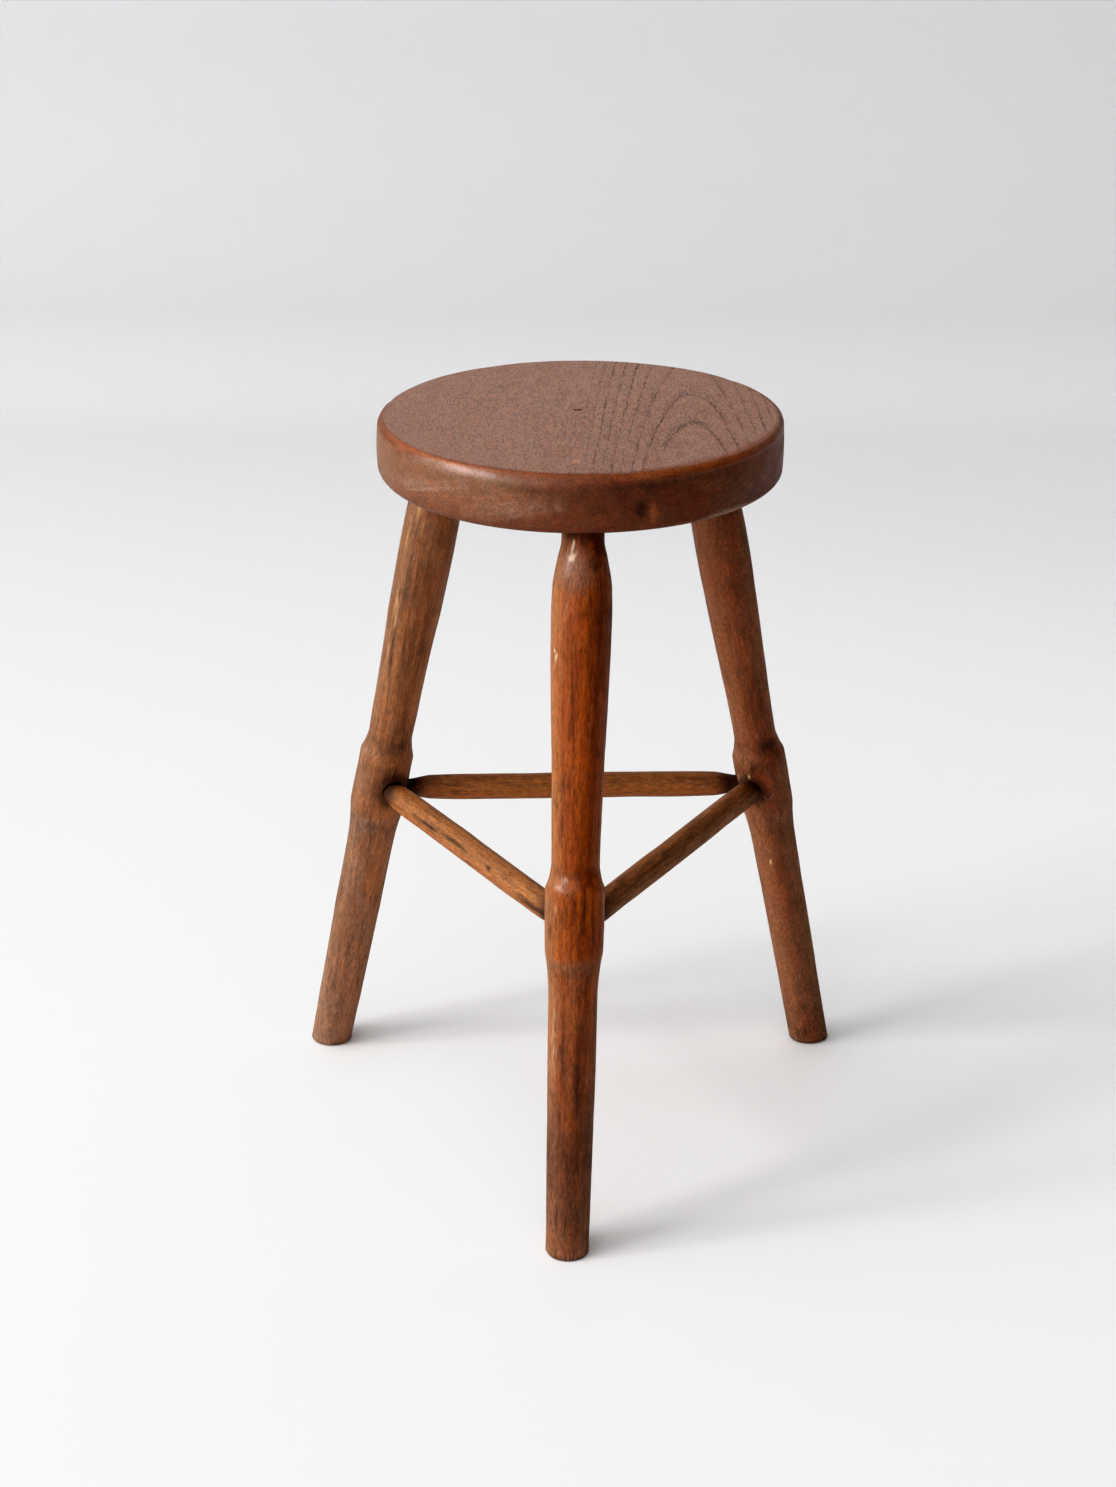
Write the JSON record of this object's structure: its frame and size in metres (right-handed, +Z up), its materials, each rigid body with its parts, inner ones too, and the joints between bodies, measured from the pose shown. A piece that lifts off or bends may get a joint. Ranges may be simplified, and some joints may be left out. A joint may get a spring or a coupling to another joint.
{
  "type": "tripod stool",
  "caption": "Small turned wooden stool: round flat seat on splayed legs, each with a swelled ring tied to its neighbours by level stretchers; for sitting.",
  "frame": {"origin": "on the floor, below the centre of the seat, where the stool's axis meets the plane of its feet", "axes": "+Z up along the stool's axis, -Y towards the front leg, +X to the right as seen from the front"},
  "size_m": [0.3996, 0.3685, 0.534],
  "materials": {
    "seat_wood": "old brown oil or shellac, worn to a low sheen",
    "leg_wood": "old orange-brown shellac, glossier where it is untouched",
    "stretcher_wood": "old brown shellac, rubbed thin"
  },
  "bodies": {
    "root": {"seat": "seat_wood", "front_leg": "leg_wood", "right_rear_leg": "leg_wood", "left_rear_leg": "leg_wood", "rear_stretcher": "stretcher_wood", "left_stretcher": "stretcher_wood", "right_stretcher": "stretcher_wood"}
  },
  "joints": []
}
